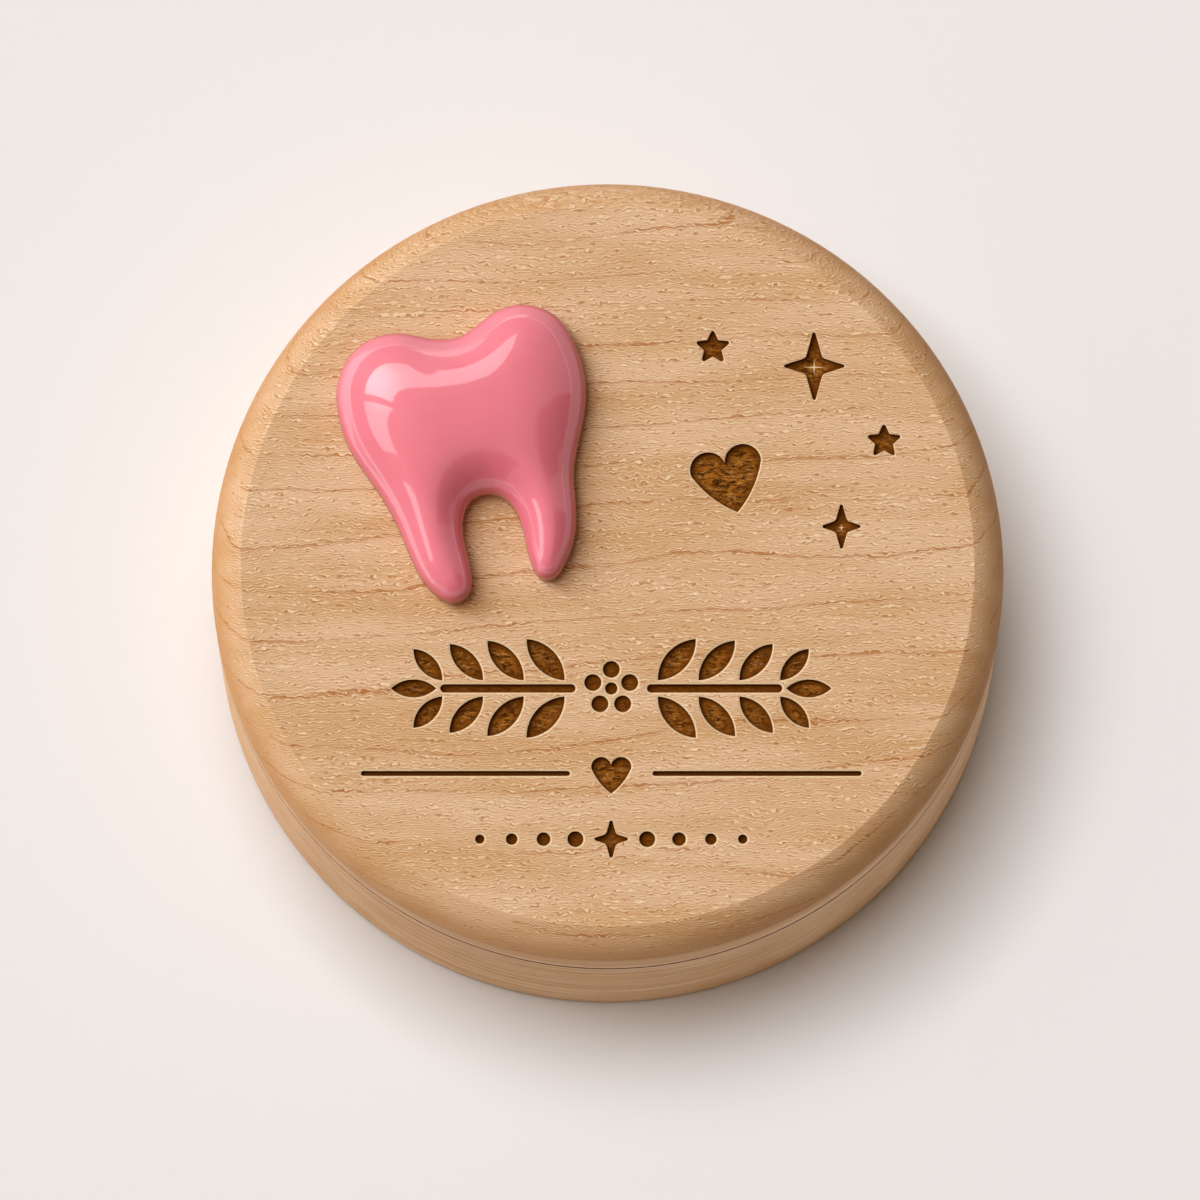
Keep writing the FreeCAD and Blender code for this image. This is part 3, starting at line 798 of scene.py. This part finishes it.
def felt_mesh(node, look):
    """Felt disc with a soft edge and an uneven nap, in the space of a CAD node."""
    low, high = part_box(node)
    reach = (high.x - low.x) / 2
    rings, sides, edge_turns = 44, 180, 8
    mesh = bmesh.new()

    def ring(radius, height, uneven):
        """Points round the disc's middle."""
        made = []
        for side in range(sides):
            angle = 2 * math.pi * side / sides
            x, y = radius * math.cos(angle), radius * math.sin(angle)
            nap = noise.fractal(Vector((x, y, height)) / NAP_WAVES, 0.6, 2.1, 3)
            made.append(mesh.verts.new((x, y, height + uneven * look.nap * nap)))
        return made

    half = (high.z - low.z) / 2
    soft = min(look.edge, half)
    radii = [reach * (number + 1) / rings for number in range(rings - 2)]
    loops = [ring(radius, low.z + look.nap, 1) for radius in radii]
    for turn in range(edge_turns + 1):
        angle = math.pi * (turn / edge_turns - 0.5)
        level = (low.z + high.z) / 2 + (half - look.nap) * math.sin(angle)
        loops.append(ring(reach - soft * (1 - math.cos(angle)), level, 0.6))
    loops += [ring(radius, high.z - look.nap, 1) for radius in reversed(radii)]
    for first, second in zip(loops, loops[1:]):
        for side in range(sides):
            after = (side + 1) % sides
            mesh.faces.new([first[side], first[after], second[after], second[side]])
    mesh.faces.new(loops[0][::-1])
    mesh.faces.new(loops[-1])
    bmesh.ops.recalc_face_normals(mesh, faces=mesh.faces)
    return mesh


def pressed_felt(name, colour, look):
    """Wool felt, pressed and cut.

    The eye gets matted fibres that run every way, a soft sheen and no shine. The fibres are drawn coarser
    than real ones, so that they show.
    """
    material, tree = new_material(name)
    fibres = grain_place(tree, (3 * look.fibre,) * 3)
    mat = add(tree, "TexNoise", {
        "Vector": fibres, "Scale": 1, "Detail": 4, "Roughness": 0.7, "Distortion": 1.6,
    })
    tone = add(tree, "MapRange", {
        "Value": mat, "From Min": 0.3, "From Max": 0.7, "To Min": 0.72, "To Max": 1.08,
    })
    shade = add(tree, "MixRGB", {"Fac": 1.0, "Color1": colour, "Color2": tone}, blend_type="MULTIPLY")
    bump = add(tree, "Bump", {"Height": mat, "Strength": 1.0, "Distance": 0.8 * look.fibre})
    shader = add(tree, "BsdfPrincipled", {
        "Base Color": shade, "Roughness": 0.95, "Normal": bump, "Specular IOR Level": 0.1,
        "Sheen Weight": 0.35, "Sheen Roughness": 0.5,
    })
    return surfaced(material, shader)


class TOOTHBOX_OT_felts(bpy.types.Operator):
    """Builds the felts of the floor, the lid and the foot in place of their plain discs"""
    bl_idname = "tooth_box.felts"
    bl_label = "Felts"

    def execute(self, context):
        look = context.scene.tooth_box_felt
        lining = pressed_felt("wool_felt_pressed_lining", look.lining, look)
        foot = pressed_felt("wool_felt_pressed_foot", look.foot, look)
        for node, body, material, slot, seat in (
            ("floor_felt", "base", lining, "lining_felt", "base_cup"),
            ("lid_felt", "lid", lining, "lining_felt", "lid_panel"),
            ("foot_felt", "base", foot, "foot_felt", "base_cup"),
        ):
            piece = shown_mesh("cut_" + node, felt_mesh(node, look), material, body, node)
        return {"FINISHED"}


def nickel_plate(look):
    """Bright nickel plate over a pressed magnet.

    The eye gets a pale warm metal with fine polishing scratches and a few dull spots.
    """
    material, tree = new_material("nickel_plate_polished")
    scratches = grain_place(tree, (12 * look.scratch, look.scratch, look.scratch))
    lines = add(tree, "TexNoise", {"Vector": scratches, "Scale": 1, "Detail": 3})
    spots = add(tree, "TexNoise", {"Vector": grain_place(tree, DULL_SPOTS), "Scale": 1, "Detail": 3})
    rough = add(tree, "MapRange", {
        "Value": spots, "From Min": 0.35, "From Max": 0.7, "To Min": 0.16, "To Max": 0.38,
    })
    bump = add(tree, "Bump", {"Height": lines, "Strength": 0.5, "Distance": 0.01 * MM})
    shader = add(tree, "BsdfPrincipled", {
        "Base Color": look.nickel, "Metallic": 1.0, "Roughness": rough, "Normal": bump,
    })
    return surfaced(material, shader)


class TOOTHBOX_OT_magnets(bpy.types.Operator):
    """Finishes the magnets of the lid and the base"""
    bl_idname = "tooth_box.magnets"
    bl_label = "Magnets"

    def execute(self, context):
        plate = nickel_plate(context.scene.tooth_box_metal)
        for node in MAGNETS:
            finish_node(node, plate)
        return {"FINISHED"}


def matt_board(look):
    """Painted board, matt.

    The eye gets a plain warm white with hardly any grit.
    """
    material, tree = new_material("painted_board_matt")
    grit = add(tree, "TexNoise", {"Vector": grain_place(tree, BOARD_GRIT), "Scale": 1, "Detail": 2})
    bump = add(tree, "Bump", {"Height": grit, "Strength": 0.15, "Distance": 0.05 * MM})
    shader = add(tree, "BsdfPrincipled", {
        "Base Color": look.floor, "Roughness": 0.9, "Normal": bump, "Specular IOR Level": 0.1,
    })
    return surfaced(material, shader)


def make_floor(look):
    """Floor under the box."""
    half = look.floor_size / 2
    corners = ((-half, -half, 0), (half, -half, 0), (half, half, 0), (-half, half, 0))
    mesh = bmesh.new()
    mesh.faces.new([mesh.verts.new(corner) for corner in corners])
    new_object("floor", mesh, matt_board(look))


def direction(azimuth, elevation):
    """Unit vector away from the box: azimuth from +X towards +Y, elevation above the horizon."""
    level = math.cos(elevation)
    return Vector((level * math.cos(azimuth), level * math.sin(azimuth), math.sin(elevation)))


def panel(name, look, lit):
    """Square lamp that faces the box, lights one collection and doesn't show in gloss.

    name starts the names of its settings. A brightness of 1 is a white wall's.
    """
    towards = direction(getattr(look, name + "_azimuth"), getattr(look, name + "_elevation"))
    lamp = bpy.data.lights.new(name + "_panel", "AREA")
    lamp.shape = "SQUARE"
    lamp.size = getattr(look, name + "_size")
    lamp.color = getattr(look, name + "_tint")
    lamp.energy = getattr(look, name) * math.pi * lamp.size ** 2
    made = bpy.data.objects.new(lamp.name, lamp)
    made.location = towards * look.panel_distance
    made.rotation_euler = towards.to_track_quat("Z", "Y").to_euler()
    made.visible_glossy = False
    made.light_linking.receiver_collection = lit
    bpy.context.scene.collection.objects.link(made)
    return lamp


def glow(name, look, brightness, sunny):
    """White light from a sheet, with another brightness in the direction of the window's sunny part."""
    material, tree = new_material(name)
    place = add(tree, "NewGeometry").outputs["Position"]
    towards = add(tree, "VectorMath", {0: place}, operation="NORMALIZE")
    middle = direction(look.sunny_azimuth, look.sunny_elevation)
    near = add(tree, "VectorMath", {0: towards, 1: middle}, operation="DOT_PRODUCT").outputs["Value"]
    strength = add(tree, "MapRange", {
        "Value": near, "From Min": math.cos(look.sunny_edge), "From Max": math.cos(look.sunny_core),
        "To Min": brightness, "To Max": sunny,
    })
    return surfaced(material, add(tree, "Emission", {"Color": (1, 1, 1), "Strength": strength}))


def mirrored_sheet(name, look, material):
    """Curved sheet round the box, which shows in gloss alone."""
    mesh = bmesh.new()
    columns = []
    for share in np.linspace(0, 1, SHEET_COLUMNS):
        column = []
        for start, end in MIRRORED_SHEETS[name]:
            azimuth, elevation = np.radians(start) * (1 - share) + np.radians(end) * share
            column.append(mesh.verts.new(direction(azimuth, elevation) * look.mirror_distance))
        columns.append(column)
    for first, second in zip(columns, columns[1:]):
        mesh.faces.new([*first, *reversed(second)])
    sheet = new_object(name, mesh, material)
    for rays in ("camera", "diffuse", "transmission", "shadow"):
        setattr(sheet, "visible_" + rays, False)


def linked(name, state):
    """Collection that makes a lamp light the floor alone, or everything else."""
    made = bpy.data.collections.new(name)
    made.objects.link(bpy.data.objects["floor"])
    made.collection_objects[0].light_linking.link_state = state
    return made


def make_lights(look):
    """Soft panels, and windows, a pale wall and a dark card that show in gloss alone."""
    # The floor has the high panel in place of the lower two, so that the box's shadow stays short
    box, floor = linked("all_but_floor", "EXCLUDE"), linked("floor_alone", "INCLUDE")
    panel("key", look, box)
    side = panel("side", look, box)
    # Its light would otherwise bounce from the wood and glow on the floor beside it
    side.cycles.max_bounces = 0
    panel("high", look, floor)
    window = glow("window_light", look, look.window, look.sunny)
    wall = glow("wall_light", look, look.wall, look.wall)
    dark = glow("dark_card", look, look.card, look.card)
    for name, material in (
        ("window_pane_back", window), ("window_pane_side", window), ("pale_wall", wall), ("dark_card", dark),
    ):
        mirrored_sheet(name, look, material)


def make_world(look):
    """Soft light that slants towards the key panel, seen by the camera and in gloss as the floor's colour."""
    world = bpy.data.worlds.new("surroundings")
    bpy.context.scene.world = world
    world.use_nodes = True
    tree = world.node_tree
    tree.nodes.clear()
    path = add(tree, "LightPath")
    seen = path.outputs["Is Camera Ray"]
    for kind in ("Is Glossy Ray", "Is Transmission Ray"):
        seen = add(tree, "Math", {0: seen, 1: path.outputs[kind]}, operation="MAXIMUM")
    looking = add(tree, "TexCoord").outputs["Generated"]
    facing = add(tree, "VectorMath", {0: looking, 1: direction(look.key_azimuth, 0)},
                 operation="DOT_PRODUCT").outputs["Value"]
    slanted = add(tree, "Math", {0: facing, 1: look.fill * look.slant, 2: look.fill},
                  operation="MULTIPLY_ADD")
    slanted = add(tree, "Math", {0: slanted, 1: 0.0}, operation="MAXIMUM")
    light = add(tree, "Background", {"Color": look.room, "Strength": slanted})
    backdrop = add(tree, "Background", {"Color": look.floor, "Strength": 1.0})
    both = add(tree, "MixShader", {0: seen, 1: light, 2: backdrop})
    add(tree, "OutputWorld", {"Surface": both})


def make_camera(look):
    """Camera above the front of the box."""
    data = bpy.data.cameras.new("camera")
    data.lens = look.lens / MM
    data.clip_end = 10 * look.camera_distance
    camera = bpy.data.objects.new("camera", data)
    back = Vector((0, -math.cos(look.camera_elevation), math.sin(look.camera_elevation)))
    up = Vector((0, math.sin(look.camera_elevation), math.cos(look.camera_elevation)))
    aim = Vector((look.aim_right, 0, 0)) + up * look.aim_up
    camera.location = aim + back * look.camera_distance
    camera.rotation_euler = (math.pi / 2 - look.camera_elevation, 0, 0)
    bpy.context.scene.collection.objects.link(camera)
    bpy.context.scene.camera = camera


class TOOTHBOX_OT_stage(bpy.types.Operator):
    """Sets the floor, the light and the camera"""
    bl_idname = "tooth_box.stage"
    bl_label = "Stage"

    def execute(self, context):
        look = context.scene.tooth_box_stage
        make_floor(look)
        make_lights(look)
        make_world(look)
        make_camera(look)
        context.scene.view_settings.view_transform = "Standard"
        return {"FINISHED"}


class TOOTHBOX_PT_sidebar(bpy.types.Panel):
    """Settings and steps of the tooth box"""
    bl_idname = "TOOTHBOX_PT_sidebar"
    bl_label = "Tooth Box"
    bl_space_type = "VIEW_3D"
    bl_region_type = "UI"
    bl_category = "Tooth Box"

    def draw(self, context):
        layout = self.layout
        for step in STEPS:
            layout.operator(step.bl_idname)
        for name, group in LOOKS.items():
            box = layout.box()
            box.label(text=group.__doc__)
            for setting in group.__annotations__:
                box.prop(getattr(context.scene, name), setting)


LOOKS = {
    "tooth_box_wood": WoodLook,
    "tooth_box_engraving": EngravingLook,
    "tooth_box_tooth": ToothLook,
    "tooth_box_felt": FeltLook,
    "tooth_box_metal": MetalLook,
    "tooth_box_stage": StageLook,
}
STEPS = (
    TOOTHBOX_OT_turned_wood,
    TOOTHBOX_OT_tooth,
    TOOTHBOX_OT_adhesive,
    TOOTHBOX_OT_felts,
    TOOTHBOX_OT_magnets,
    TOOTHBOX_OT_stage,
)


def register():
    """Registers the settings, the steps and the panel."""
    for name, group in LOOKS.items():
        bpy.utils.register_class(group)
        setattr(bpy.types.Scene, name, PointerProperty(type=group))
    for step in STEPS:
        bpy.utils.register_class(step)
    bpy.utils.register_class(TOOTHBOX_PT_sidebar)


def unregister():
    """Takes the panel, the steps and the settings out again."""
    bpy.utils.unregister_class(TOOTHBOX_PT_sidebar)
    for step in reversed(STEPS):
        bpy.utils.unregister_class(step)
    for name, group in LOOKS.items():
        delattr(bpy.types.Scene, name)
        bpy.utils.unregister_class(group)


def main():
    """Registers the settings, the steps and the panel, and runs every step."""
    register()
    bpy.ops.tooth_box.turned_wood()
    bpy.ops.tooth_box.tooth()
    bpy.ops.tooth_box.adhesive()
    bpy.ops.tooth_box.felts()
    bpy.ops.tooth_box.magnets()
    bpy.ops.tooth_box.stage()


if __name__ == "__main__":
    main()
